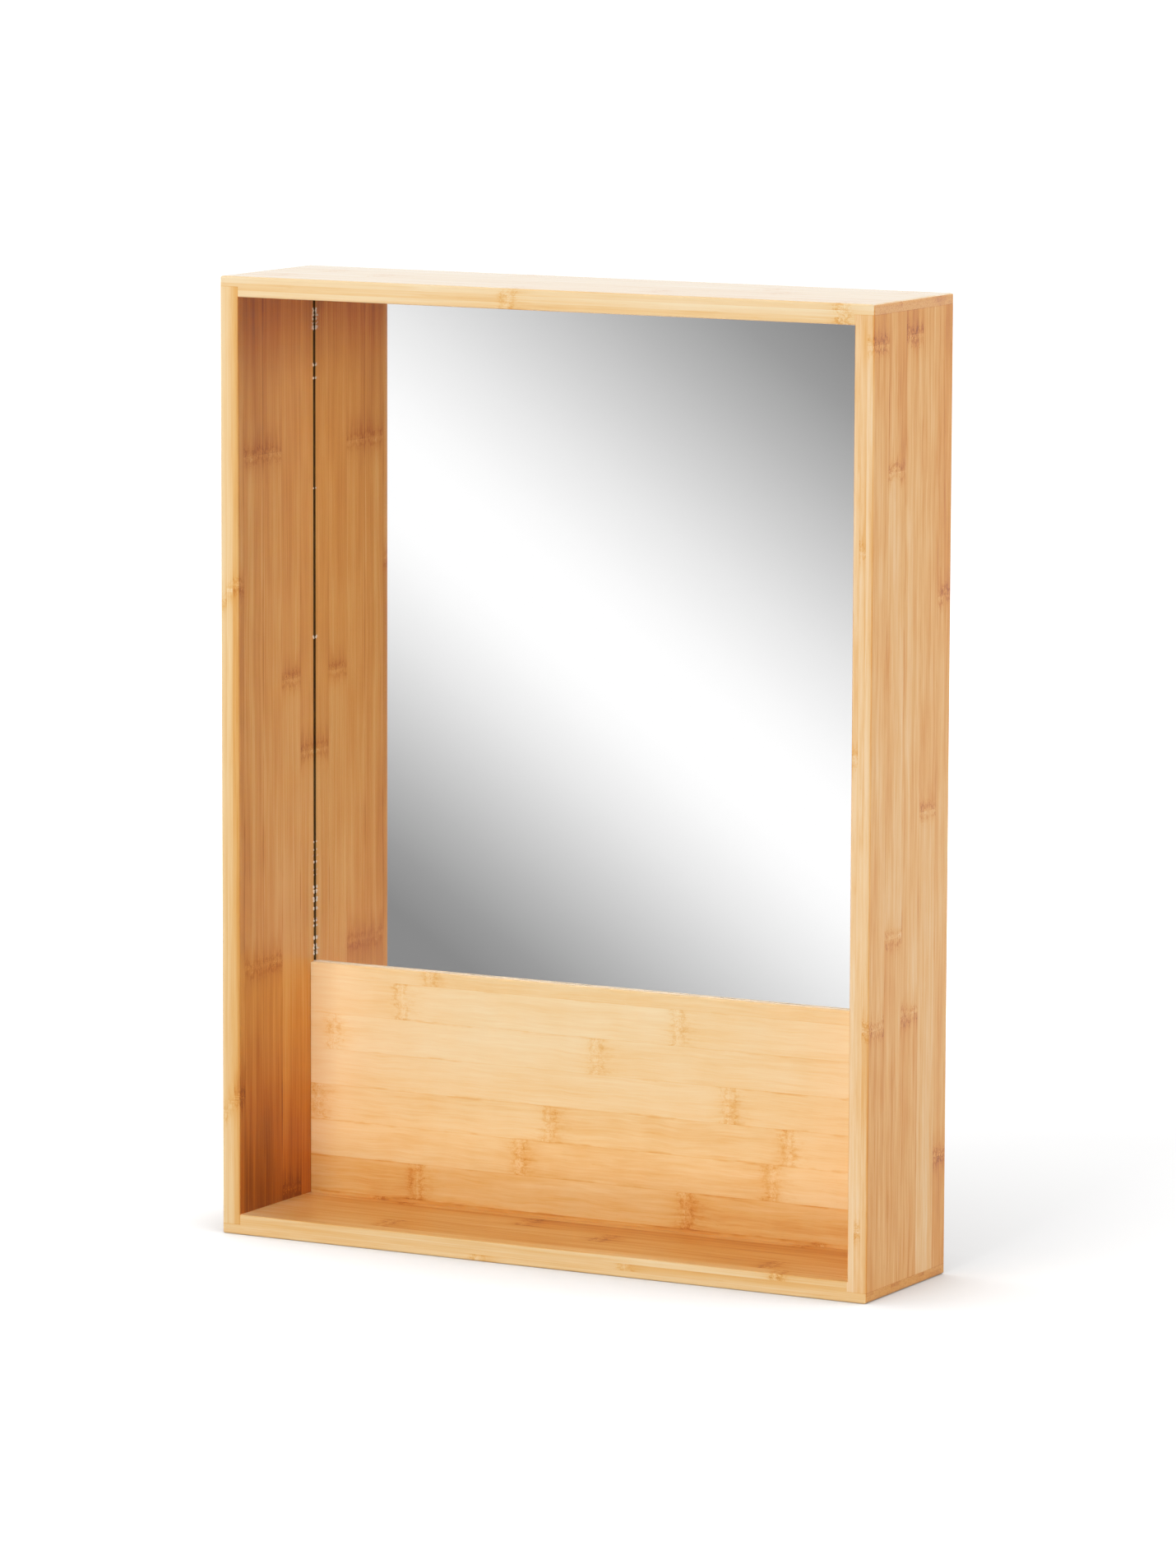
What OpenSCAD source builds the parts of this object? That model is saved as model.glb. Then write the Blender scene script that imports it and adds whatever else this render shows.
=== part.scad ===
// Bamboo box mirror with a shelf: an open box of four boards stands on its bottom board,
// a mirror closes the back of it and a bamboo panel stands across the foot of the mirror.
// X runs to the right, Y from the open front to the wall, Z up.
// The origin is in the middle of the base.

/* [Box] */
// Overall width of the box
frame_w = 420; // [360:5:600]
// Overall height of the box
frame_h = 560; // [460:5:800]
// Overall depth of the box, from its open front to the wall
frame_d = 100; // [80:1:160]
// Thickness of the four boards
board_t = 12; // [11:0.5:16]
// Thickness of the lip of the top and bottom boards that runs over the ends of the sides
lip_t = 6; // [5:0.5:8]
// Radius of the eased outer edges
edge_r = 1.2; // [0.6:0.1:2]
// Radius of the four corners, seen from the front
corner_r = 2; // [0.8:0.1:3]
// Radius of the eased edge round the open front, on the inside
rim_r = 1; // [0.4:0.1:1.5]

/* [Rear rebate] */
// How far the rebate at the back is cut into each board
rebate_w = 6; // [5:0.5:7]
// Room for glue between the shoulder of the rebate and the glass
bed_gap = 0.2; // [0.1:0.05:0.4]
// Clearance round the glass and the back board in the rebate
pane_gap = 0.5; // [0.3:0.1:1]

/* [Mirror] */
// Thickness of the glass
glass_t = 2; // [2:0.5:5]
// Thickness of the silvering with its safety film
film_t = 0.5; // [0.3:0.1:1]
// Thickness of the foam tape between the mirror and the back board
foam_t = 3; // [1:0.1:4]
// Width of each strip of foam tape
foam_w = 20; // [12:1:30]
// Distance from the side of the glass to the middle of an outer strip of foam tape
foam_inset = 60; // [30:1:80]
// Distance from the end of a strip of foam tape to the edge of the glass
foam_end = 15; // [5:1:40]

/* [Lower panel] */
// Height of the top edge of the lower panel above the base
panel_top = 150; // [110:1:220]
// How far the face of the lower panel stands in front of the glass
panel_proud = 4; // [3:0.5:8]
// How far the lip of the lower panel covers the foot of the glass
panel_lap = 6; // [4:0.5:10]
// Radius of the eased top edge of the lower panel
panel_r = 1; // [0.4:0.1:1.5]
// Clearance at the ends of the lower panel
panel_gap = 0.2; // [0.1:0.05:0.4]

/* [Back board and rails] */
// Thickness of the back board
back_t = 2.5; // [2.5:0.1:4]
// Thickness of the two rails behind the back board
rail_t = 7; // [7:0.5:10]
// Height of the hanging rail
rail_h = 60; // [56:1:90]
// Height of the lower rail
lower_rail_h = 30; // [20:1:50]
// Radius of the eased free edge of each rail
rail_r = 1; // [0.4:0.1:1.5]

/* [Keyhole hangers] */
// Distance from the outer side of the box to the centre of a hanger
hanger_inset = 60; // [50:1:70]
// Length of a hanger plate
plate_l = 48; // [46:1:52]
// Width of a hanger plate
plate_w = 17; // [16:0.5:20]
// Thickness of a hanger plate
plate_t = 1.5; // [1.2:0.1:2]
// Clearance round a plate in its recess
plate_gap = 0.1; // [0.05:0.05:0.3]
// Diameter of the entry hole, for the head of a wall screw
entry_d = 10; // [9:0.1:11]
// Width of the slot, for the neck of a wall screw
slot_w = 4.5; // [4:0.1:5.5]
// Travel of a wall screw from the entry hole to the end of the slot
slot_travel = 13; // [11:0.5:14]
// Distance from the centre of a plate down to its entry hole
entry_drop = 6; // [5:0.5:7]
// Room round the head of a wall screw in the pocket behind a plate
pocket_gap = 0.5; // [0.2:0.1:1]
// Distance from the centre of a plate to each of its two screws
plate_screw_reach = 18.5; // [18:0.1:19]

/* [Screws] */
// Diameter of a screw's shank
screw_d = 3; // [2.5:0.1:3.5]
// Diameter of a screw's countersunk head
head_d = 6; // [5.5:0.1:6.5]
// Height of a screw's countersunk head
head_h = 1.6; // [1.4:0.1:2]
// Length of the screws in the hanger plates
plate_screw_l = 9; // [8:0.1:9.4]
// Length of the screws in the lower rail
rail_screw_l = 16; // [13:0.5:16]
// Distance from the outer side of the box to the outer screws of the lower rail
rail_screw_inset = 60; // [40:1:110]
// Length of the point of a screw
screw_tip = 2.5; // [1:0.1:3]
// Width of the blades of the cross recess in a screw's head
cross_t = 0.8; // [0.6:0.1:1]
// Span of the cross recess in a screw's head
cross_l = 3.2; // [2.5:0.1:3.6]
// Depth of the cross recess in a screw's head
cross_h = 1.2; // [0.8:0.1:1.4]

/* [Pins and framing points] */
// Diameter of the pins in the corner joints and the hanging rail
pin_d = 1.6; // [1.2:0.1:2]
// Length of a pin
pin_l = 22; // [16:1:28]
// Depth at which the head of a pin lies below the filled surface
pin_sink = 1; // [0.5:0.1:2]
// Number of pins in each corner joint
corner_pins_n = 3; // [2:1:4]
// Distance from the front to the first pin of a corner joint
pin_inset = 15; // [10:1:20]
// Number of pins in the hanging rail
rail_pins_n = 4; // [2:1:6]
// Distance from the outer side of the box to the outer pins of the hanging rail
rail_pin_inset = 88; // [85:1:110]
// Number of framing points on each side of the back board
points_n = 3; // [2:1:5]
// Thickness of a framing point
point_t = 0.8; // [0.6:0.1:1]
// Width of a framing point
point_w = 8; // [6:0.5:12]
// Free length of a framing point over the back board
point_reach = 9; // [7:0.5:14]
// Depth to which a framing point is driven into a side board
point_bite = 4; // [3:0.5:4.5]

/* [Hidden] */

$fn = 48;
arc_n = 4;              // flats in each eased quarter round
over = 1;               // how far a cut runs past the surface that it opens
left = -1;
right = 1;

bamboo = [0.90, 0.72, 0.48];
bamboo_panel = [0.94, 0.76, 0.50];
mirror_blue = [0.80, 0.86, 0.90];
film_grey = [0.45, 0.47, 0.50];
foam_white = [0.93, 0.93, 0.90];
hardboard_brown = [0.48, 0.33, 0.21];
zinc = [0.74, 0.76, 0.78];

// The planes across the depth of the box, from the wall forwards.
back_y = frame_d / 2;
front_y = -frame_d / 2;
rail_y = back_y - rail_t;
board_y = rail_y - back_t;
foam_y = board_y - foam_t;
film_y = foam_y - film_t;
glass_y = film_y - glass_t;
shoulder_y = glass_y - bed_gap;
panel_y = glass_y - panel_proud;

// The open niche, and the wider pocket that the rebates leave behind it.
niche_w = frame_w - 2 * board_t;
niche_top = frame_h - board_t;
pocket_w = niche_w + 2 * rebate_w;
pocket_low = board_t - rebate_w;
pocket_top = niche_top + rebate_w;
pane_w = pocket_w - 2 * pane_gap;

glass_low = panel_top - panel_lap;
glass_top = pocket_top - pane_gap;
hanging_rail_low = pocket_top - rail_h;
plate_z = pocket_top - rail_h / 2;
entry_z = plate_z - entry_drop;
lower_screw_z = pocket_low + lower_rail_h / 2;

side_x = frame_w / 2 - board_t / 2;
pin_pitch = (shoulder_y - front_y - 2 * pin_inset) / (corner_pins_n - 1);
rail_pin_x = frame_w / 2 - rail_pin_inset;
rail_pin_pitch = 2 * rail_pin_x / (rail_pins_n - 1);
rail_screw_x = frame_w / 2 - rail_screw_inset;
hanger_x = frame_w / 2 - hanger_inset;
foam_x = pane_w / 2 - foam_inset;
points_pitch = (hanging_rail_low - glass_low) / (points_n + 1);

// Rectangle from (u0, v0) to (u1, v1) with its four corners rounded.
function round_rect(u0, u1, v0, v1, r) = [
    for (corner = [[u1 - r, v1 - r, 0], [u0 + r, v1 - r, 90], [u0 + r, v0 + r, 180], [u1 - r, v0 + r, 270]])
    for (k = [0 : arc_n])
    let (a = corner[2] + 90 * k / arc_n)
    [corner[0] + r * cos(a), corner[1] + r * sin(a)]
];

// Section of the niche from low to high across the depth, flared by the eased front edge.
function flared(low, high) = concat(
    [[high, back_y + over]],
    [for (k = [0 : arc_n]) let (a = 90 * k / arc_n)
        [high + rim_r * (1 - cos(a)), front_y + rim_r * (1 - sin(a))]],
    [[high + rim_r, front_y - over], [low - rim_r, front_y - over]],
    [for (k = [arc_n : -1 : 0]) let (a = 90 * k / arc_n)
        [low - rim_r * (1 - cos(a)), front_y + rim_r * (1 - sin(a))]],
    [[low, back_y + over]]
);

function swapped(points) = [for (p = points) [p[1], p[0]]];

// A box from one corner to the opposite one.
module block(low, high) {
    translate(low) cube(high - low);
}

// Extrudes a section drawn in Y and Z along X, between x0 and x1.
module along_x(x0, x1) {
    rotate([90, 0, 90]) translate([0, 0, x0]) linear_extrude(x1 - x0) children();
}

// Extrudes a section drawn in X and Z along Y, between y0 and y1.
module along_y(y0, y1) {
    rotate([90, 0, 0]) translate([0, 0, -y1]) linear_extrude(y1 - y0) children();
}

// The outer form of the whole box, with every outer edge eased.
module outer_form() {
    intersection() {
        translate([0, 0, -over]) linear_extrude(frame_h + 2 * over)
            polygon(round_rect(-frame_w / 2, frame_w / 2, front_y, back_y, edge_r));
        along_x(-frame_w / 2 - over, frame_w / 2 + over)
            polygon(round_rect(front_y, back_y, 0, frame_h, edge_r));
        along_y(front_y - over, back_y + over)
            polygon(round_rect(-frame_w / 2, frame_w / 2, 0, frame_h, corner_r));
    }
}

// The space inside the box, with its eased front edge mitred at the corners.
module niche_space() {
    intersection() {
        linear_extrude(frame_h) polygon(flared(-niche_w / 2, niche_w / 2));
        along_x(-frame_w / 2, frame_w / 2) polygon(swapped(flared(board_t, niche_top)));
    }
}

// The rebate all round the back, which takes the mirror, the back board and the rails.
module rear_pocket() {
    block([-pocket_w / 2, shoulder_y, pocket_low], [pocket_w / 2, back_y + over, pocket_top]);
}

// A plain pin that points up or down from its sunk head.
module pin() {
    cylinder(h = pin_l, d = pin_d);
}

// The pins of the four corner joints, driven through the lips into the ends of the sides.
module all_corner_pins() {
    for (x = [-side_x, side_x])
        for (k = [0 : corner_pins_n - 1]) {
            y = front_y + pin_inset + k * pin_pitch;
            translate([x, y, pin_sink]) pin();
            translate([x, y, frame_h - pin_sink - pin_l]) pin();
        }
}

// The pins driven down through the top lip into the hanging rail.
module all_rail_pins() {
    for (k = [0 : rail_pins_n - 1])
        translate([k * rail_pin_pitch - rail_pin_x, rail_y + rail_t / 2, frame_h - pin_sink - pin_l])
            pin();
}

// A pointed steel tab that holds the back board, seen from behind; side is left or right.
module framing_point(side) {
    root = pocket_w / 2 + point_bite;
    free = pocket_w / 2 - point_reach;
    along_y(rail_y, rail_y + point_t)
        polygon([
            [side * root, 0],
            [side * (root - point_bite / 2), point_w / 2],
            [side * free, point_w / 2],
            [side * free, -point_w / 2],
            [side * (root - point_bite / 2), -point_w / 2],
        ]);
}

// All the framing points of one side.
module side_points(side) {
    for (k = [1 : points_n])
        translate([0, 0, glass_low + k * points_pitch]) framing_point(side);
}

// A countersunk wood screw along Y, with the top of its head in the plane y = 0.
module countersunk_screw(length) {
    rotate([90, 0, 0]) difference() {
        rotate_extrude() polygon([
            [0, 0],
            [head_d / 2, 0],
            [screw_d / 2, head_h],
            [screw_d / 2, length - screw_tip],
            [0, length],
        ]);
        for (turn = [0, 90])
            rotate([0, 0, turn])
                block([-cross_l / 2, -cross_t / 2, -over], [cross_l / 2, cross_t / 2, cross_h]);
    }
}

// The room that a countersunk screw takes up in the pieces that it joins.
module screw_room(length) {
    rotate([90, 0, 0]) rotate_extrude() polygon([
        [0, -over],
        [head_d / 2, -over],
        [head_d / 2, 0],
        [screw_d / 2, head_h],
        [screw_d / 2, length - screw_tip],
        [0, length],
    ]);
}

// Puts its children at each screw of the two hanger plates.
module at_plate_screws() {
    for (side = [left, right])
        for (end = [-1, 1])
            translate([side * hanger_x, back_y, plate_z + end * plate_screw_reach])
                children();
}

// Puts its children at each screw of the lower rail.
module at_rail_screws() {
    for (k = [-1 : 1])
        translate([k * rail_screw_x, back_y, lower_screw_z]) children();
}

// A slot with round ends that stands upright, drawn in X and Z from low to high.
module upright_slot(width, low, high) {
    translate([-width / 2, low]) square([width, high - low]);
    for (z = [low, high]) translate([0, z]) circle(d = width);
}

// Outline of a hanger plate, grown by a clearance.
module plate_outline(gap) {
    upright_slot(plate_w + 2 * gap, -(plate_l - plate_w) / 2, (plate_l - plate_w) / 2);
}

// A board between the two lips; side is left or right.
module side_board(side) {
    inner = side * niche_w / 2;
    outer = side * (frame_w / 2 + over);
    difference() {
        intersection() {
            outer_form();
            block([min(inner, outer), front_y - over, lip_t], [max(inner, outer), back_y + over, frame_h - lip_t]);
        }
        niche_space();
        rear_pocket();
        all_corner_pins();
        side_points(side);
    }
}

// A board whose lip runs over the ends of the sides, with its tongue between them.
// The lip lies between lip_low and lip_high, and the tongue between tongue_low and tongue_high.
module lipped_board(lip_low, lip_high, tongue_low, tongue_high) {
    difference() {
        intersection() {
            outer_form();
            union() {
                block([-frame_w / 2 - over, front_y - over, lip_low], [frame_w / 2 + over, back_y + over, lip_high]);
                block([-niche_w / 2, front_y - over, tongue_low], [niche_w / 2, back_y + over, tongue_high]);
            }
        }
        niche_space();
        rear_pocket();
        all_corner_pins();
        all_rail_pins();
    }
}

// A strip of foam tape, centred on x.
module foam_strip(x) {
    block([x - foam_w / 2, foam_y, glass_low + foam_end], [x + foam_w / 2, board_y, glass_top - foam_end]);
}

// A rail between two heights, with its free edge and its back eased at eased_z.
module rail_bar(low, high, eased_z) {
    middle = (low + high) / 2;
    away = eased_z < middle ? high + rail_r : low - rail_r;
    intersection() {
        block([-pane_w / 2, rail_y, low], [pane_w / 2, back_y, high]);
        along_x(-pane_w / 2, pane_w / 2)
            polygon(round_rect(rail_y - 2 * rail_r, back_y, min(eased_z, away), max(eased_z, away), rail_r));
    }
}

module left_side() {
    color(bamboo) side_board(left);
}

module right_side() {
    color(bamboo) side_board(right);
}

module top_board() {
    color(bamboo) lipped_board(frame_h - lip_t, frame_h + over, niche_top, frame_h - lip_t);
}

module bottom_board() {
    color(bamboo) lipped_board(-over, lip_t, lip_t, board_t);
}

// The panel stands between the boards, and its wider tongue lies in the rebate.
module lower_panel() {
    front_w = niche_w - 2 * panel_gap;
    tongue_w = pocket_w - 2 * panel_gap;
    tongue_low = pocket_low + panel_gap;
    color(bamboo_panel) difference() {
        union() {
            intersection() {
                along_x(-front_w / 2, front_w / 2)
                    polygon(round_rect(panel_y, back_y, 0, panel_top, panel_r));
                block([-front_w / 2, panel_y, board_t], [front_w / 2, shoulder_y, panel_top]);
            }
            block([-tongue_w / 2, shoulder_y, tongue_low], [tongue_w / 2, board_y, glass_low]);
        }
        at_rail_screws() screw_room(rail_screw_l);
    }
}

module mirror_glass() {
    color(mirror_blue) block([-pane_w / 2, glass_y, glass_low], [pane_w / 2, film_y, glass_top]);
}

module mirror_backing() {
    color(film_grey) block([-pane_w / 2, film_y, glass_low], [pane_w / 2, foam_y, glass_top]);
}

module foam_tape_left() {
    color(foam_white) foam_strip(-foam_x);
}

module foam_tape_middle() {
    color(foam_white) foam_strip(0);
}

module foam_tape_right() {
    color(foam_white) foam_strip(foam_x);
}

module back_board() {
    color(hardboard_brown) difference() {
        block([-pane_w / 2, board_y, pocket_low + pane_gap], [pane_w / 2, rail_y, glass_top]);
        at_rail_screws() screw_room(rail_screw_l);
        at_plate_screws() screw_room(plate_screw_l);
    }
}

// The top lip of the box rests on this rail, which carries the two hanger plates.
module hanging_rail() {
    pocket_hole = entry_d + 2 * pocket_gap;
    color(bamboo) difference() {
        rail_bar(hanging_rail_low, pocket_top, hanging_rail_low);
        for (side = [left, right])
            translate([side * hanger_x, 0, plate_z]) {
                along_y(back_y - plate_t, back_y + over) plate_outline(plate_gap);
                along_y(rail_y - over, back_y)
                    upright_slot(pocket_hole, -entry_drop, slot_travel - entry_drop);
            }
        at_plate_screws() screw_room(plate_screw_l);
        all_rail_pins();
    }
}

module lower_rail() {
    color(bamboo) difference() {
        rail_bar(pocket_low, pocket_low + lower_rail_h, pocket_low + lower_rail_h);
        at_rail_screws() screw_room(rail_screw_l);
    }
}

// A keyhole plate let into the rail: the head of a wall screw enters below,
// and the box drops until the neck of the screw reaches the end of the slot.
module keyhole_plate(side) {
    difference() {
        translate([side * hanger_x, 0, plate_z]) along_y(back_y - plate_t, back_y)
            difference() {
                plate_outline(0);
                upright_slot(slot_w, -entry_drop, slot_travel - entry_drop);
                translate([0, -entry_drop]) circle(d = entry_d);
            }
        at_plate_screws() screw_room(plate_screw_l);
    }
}

module keyhole_plate_left() {
    color(zinc) keyhole_plate(left);
}

module keyhole_plate_right() {
    color(zinc) keyhole_plate(right);
}

module keyhole_screws() {
    color(zinc) at_plate_screws() countersunk_screw(plate_screw_l);
}

module lower_rail_screws() {
    color(zinc) at_rail_screws() countersunk_screw(rail_screw_l);
}

module corner_pins() {
    color(zinc) all_corner_pins();
}

module rail_pins() {
    color(zinc) all_rail_pins();
}

module framing_points() {
    color(zinc) for (side = [left, right]) side_points(side);
}

left_side();
right_side();
top_board();
bottom_board();
lower_panel();
mirror_glass();
mirror_backing();
foam_tape_left();
foam_tape_middle();
foam_tape_right();
back_board();
hanging_rail();
lower_rail();
keyhole_plate_left();
keyhole_plate_right();
keyhole_screws();
lower_rail_screws();
corner_pins();
rail_pins();
framing_points();
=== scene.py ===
# %% [markdown]
# # A bamboo box mirror with a shelf
#
# The real object is an open box of four laminated bamboo boards. A mirror closes the back of it,
# a bamboo panel stands across the foot of the mirror, and the bottom board is a shelf.
# The boards, the glass and the fittings are already solids at their real size, so this script
# keeps their shapes and gives each one its finish. It then adds the small things that a finish
# can't show, the light, the floor and the camera.

# %% Load the frame
import math
import random

import bpy
from mathutils import Euler, Matrix, Vector


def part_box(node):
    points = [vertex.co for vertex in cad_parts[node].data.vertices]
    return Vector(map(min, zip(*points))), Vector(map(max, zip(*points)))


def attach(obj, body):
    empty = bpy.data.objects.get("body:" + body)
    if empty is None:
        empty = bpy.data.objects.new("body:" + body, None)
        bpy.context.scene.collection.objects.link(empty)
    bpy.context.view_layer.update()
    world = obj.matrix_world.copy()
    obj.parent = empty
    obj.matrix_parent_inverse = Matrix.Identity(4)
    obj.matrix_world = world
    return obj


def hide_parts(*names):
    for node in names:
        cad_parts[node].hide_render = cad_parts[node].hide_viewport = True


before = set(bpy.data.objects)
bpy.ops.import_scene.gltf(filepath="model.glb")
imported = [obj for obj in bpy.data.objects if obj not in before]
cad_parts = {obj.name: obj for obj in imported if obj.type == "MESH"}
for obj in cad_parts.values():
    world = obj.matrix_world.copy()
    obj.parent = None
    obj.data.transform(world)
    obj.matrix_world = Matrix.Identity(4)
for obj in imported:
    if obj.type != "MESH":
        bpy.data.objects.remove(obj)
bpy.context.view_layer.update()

# %% [markdown]
# ## Measures
#
# Blender works in metres, and a joiner in millimetres. One factor turns the one into the other.
# The planes that the finishes need, such as the face of a board, are read from the solids, so a
# finish stays on its board when the model changes.

# %% Measures from the solids
MM = 0.001
# The number of each axis: x runs to the right, y to the back and z up.
X, Y, Z = 0, 1, 2


def in_mm(node_name):
    """Lowest and highest corner of a solid, in millimetres."""
    low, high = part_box(node_name)
    return low / MM, high / MM


LEFT_LOW, LEFT_HIGH = in_mm("left_side")
RIGHT_LOW, RIGHT_HIGH = in_mm("right_side")
TOP_LOW, TOP_HIGH = in_mm("top_board")
BOTTOM_LOW, BOTTOM_HIGH = in_mm("bottom_board")
PANEL_LOW, PANEL_HIGH = in_mm("lower_panel")
GLASS_LOW, GLASS_HIGH = in_mm("mirror_glass")
BOARD_T = BOTTOM_HIGH.z - BOTTOM_LOW.z
LIP_T = LEFT_LOW.z
NICHE_HALF = RIGHT_LOW.x
NICHE_TOP = TOP_HIGH.z - BOARD_T
print("board", round(BOARD_T, 2), "lip", round(LIP_T, 2), "niche", round(2 * NICHE_HALF, 2), "mm")

# %% [markdown]
# ## Small helpers
#
# A colour is written as it looks on a screen, and the renderer wants it in linear light, so one
# function converts it. A second function adds a node to a material and links it, which keeps the
# materials below short enough to read from top to bottom. The others start and end a material,
# fill a colour ramp, and give a solid its finish.

# %% Helpers for colours and nodes
def rgb(hex_colour):
    """Linear colour with alpha from an sRGB hex such as F6D3A0."""
    channels = [int(hex_colour[i:i + 2], 16) / 255 for i in (0, 2, 4)]
    linear = [c / 12.92 if c <= 0.04045 else ((c + 0.055) / 1.055) ** 2.4 for c in channels]
    return (*linear, 1.0)


def add(tree, kind, settings=None, inputs=None):
    """Adds a node, sets its properties, and sets each input or links it to a socket."""
    new = tree.nodes.new(kind)
    for name, value in (settings or {}).items():
        setattr(new, name, value)
    for socket, value in (inputs or {}).items():
        if isinstance(value, bpy.types.NodeSocket):
            tree.links.new(value, new.inputs[socket])
        else:
            new.inputs[socket].default_value = value
    return new


def new_material(name):
    """An empty node material, and its tree."""
    material = bpy.data.materials.new(name)
    material.use_nodes = True
    material.node_tree.nodes.clear()
    return material, material.node_tree


def set_stops(ramp, stops):
    """Gives a colour ramp its stops, each a place from 0 to 1 and a colour as a hex."""
    elements = ramp.color_ramp.elements
    first, *between, last = stops
    for element, (place, colour) in zip(elements, (first, last)):
        element.position = place
        element.color = rgb(colour)
    for place, colour in between:
        elements.new(place).color = rgb(colour)


def finish_material(tree, shader):
    """Sends a shader to the surface output."""
    add(tree, "ShaderNodeOutputMaterial", inputs={"Surface": shader})


def dress(node_name, material):
    """Gives a solid its finish."""
    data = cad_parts[node_name].data
    data.materials.clear()
    data.materials.append(material)


print("sRGB F6D3A0 is", [round(c, 3) for c in rgb("F6D3A0")])

# %% [markdown]
# ## Laminated bamboo
#
# The boards are flat-pressed bamboo: strips about 21 mm wide lie side by side, in three plies of
# 4 mm, and are glued, sanded and sealed with a satin lacquer. What gives it away is the
# strip: each one has its own tone, fine straight fibres with short dark flecks, and a knuckle
# where the cane had a joint. The knuckles repeat along a strip, and start elsewhere in the next.
#
# One node group draws a strip from three distances in millimetres: along the grain, across the
# strips and through the plies. Every board uses it, turned to its own grain.

# %% The bamboo strip as a node group
STRIP_W = 21.3
PLY_T = 4.0

strip = bpy.data.node_groups.new("bamboo strip", "ShaderNodeTree")
for socket_name in ("Along", "Across", "Through", "Phase", "Spacing", "Tone", "Seed", "End grain",
                    "Edge", "Curl", "Contrast", "Shortness"):
    strip.interface.new_socket(socket_name, in_out="INPUT", socket_type="NodeSocketFloat")
strip.interface.new_socket("Color", in_out="OUTPUT", socket_type="NodeSocketColor")
strip.interface.new_socket("Height", in_out="OUTPUT", socket_type="NodeSocketFloat")
strip.interface.new_socket("Roughness", in_out="OUTPUT", socket_type="NodeSocketFloat")
given = strip.nodes.new("NodeGroupInput").outputs
NOISE_ROUGHNESS = 0.6
# Nearly all of a noise lies between these two numbers.
NOISE_SPAN = (0.3, 0.7)


def maths(tree, operation, *values):
    """The result of one sum on numbers or sockets."""
    return add(tree, "ShaderNodeMath", {"operation": operation}, dict(enumerate(values))).outputs[0]


def fade(tree, value, start, end, from_value=1.0, to_value=0.0):
    """Runs smoothly from one value at start to another at end."""
    return add(tree, "ShaderNodeMapRange", {"interpolation_type": "SMOOTHSTEP"},
               {"Value": value, "From Min": start, "From Max": end,
                "To Min": from_value, "To Max": to_value}).outputs[0]


def grain_noise(per_mm_along, per_mm_across, detail=3.0, distortion=0.0, across=None):
    """Noise in a strip at so many cycles per millimetre along and across the grain."""
    u = maths(strip, "MULTIPLY", maths(strip, "MULTIPLY", given["Along"], given["Shortness"]),
              per_mm_along)
    v = maths(strip, "MULTIPLY", across or given["Across"], per_mm_across)
    w = maths(strip, "MULTIPLY_ADD", given["Through"], per_mm_across, given["Seed"])
    vector = add(strip, "ShaderNodeCombineXYZ", inputs={0: u, 1: v, 2: w})
    noise = add(strip, "ShaderNodeTexNoise", inputs={
        "Vector": vector.outputs[0], "Scale": 1.0, "Detail": detail,
        "Roughness": NOISE_ROUGHNESS, "Distortion": distortion})
    return noise.outputs[0]


print("a strip takes", len(given) - 1, "numbers, and is", STRIP_W, "mm wide in plies of", PLY_T, "mm")

# %% Where the knuckles are
# The distance along the grain is wrapped at the spacing of the knuckles. The line of a knuckle
# isn't straight: it bows by a few millimetres across the strip, and it is ragged, the more so
# where the fibres curl.
BOW_MM = 4.0
BOWS_PER_MM = (0.004, 0.13)
RAG_MM = 4.0
CURLY_RAG_MM = 7.0
RAGS_PER_MM = (0.03, 0.42)
HALO_MM = (2.0, 20.0)
past = maths(strip, "SUBTRACT", given["Along"], given["Phase"])
half_spacing = maths(strip, "MULTIPLY", given["Spacing"], 0.5)
wrapped = maths(strip, "WRAP", past, half_spacing, maths(strip, "MULTIPLY", half_spacing, -1.0))
bow = grain_noise(*BOWS_PER_MM, detail=2.5)
bow_mm = maths(strip, "MULTIPLY_ADD", bow, 2 * BOW_MM, -BOW_MM)
rag = grain_noise(*RAGS_PER_MM, detail=2.0)
rag_reach = maths(strip, "MULTIPLY_ADD", given["Curl"], CURLY_RAG_MM, RAG_MM)
rag_mm = maths(strip, "MULTIPLY", maths(strip, "SUBTRACT", rag, 0.5), rag_reach)
near = maths(strip, "ADD", maths(strip, "ADD", wrapped, bow_mm), rag_mm)
near_abs = maths(strip, "ABSOLUTE", near)
halo = fade(strip, near_abs, *HALO_MM)
print("a knuckle strays", BOW_MM + RAG_MM / 2, "mm at most, or", BOW_MM + (RAG_MM + CURLY_RAG_MM) / 2,
      "mm where it is curly")

# %% The curls of a knuckle
# Fibres that ran on into the next joint of the cane curl round each other here. They show as
# fine dark curls between two ragged rims, on a ground that is a touch paler, and in patches.
CURL_HALF = 3.0
CURL_REACH = 8.0
CURLS_PER_MM = (0.24, 0.38)
CURL_LINE = (0.015, 0.06)
PATCHES_PER_MM = (0.07, 0.16)
PATCH_EDGE = (0.36, 0.56)
FAINTEST = 0.4
RIM_MM = (0.2, 1.5)
RIM_SHARE = 0.6
to_rim = maths(strip, "ABSOLUTE", maths(strip, "SUBTRACT", near_abs, CURL_HALF))
rim = maths(strip, "MULTIPLY", fade(strip, to_rim, *RIM_MM), RIM_SHARE)
curl_noise = grain_noise(*CURLS_PER_MM, detail=1.0, distortion=1.4)
off_line = maths(strip, "ABSOLUTE", maths(strip, "SUBTRACT", curl_noise, 0.5))
curl_line = maths(strip, "MULTIPLY", fade(strip, off_line, *CURL_LINE),
                  fade(strip, near_abs, CURL_HALF, CURL_REACH))
patchy = fade(strip, grain_noise(*PATCHES_PER_MM, detail=1.0), *PATCH_EDGE, FAINTEST, 1.0)
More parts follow.
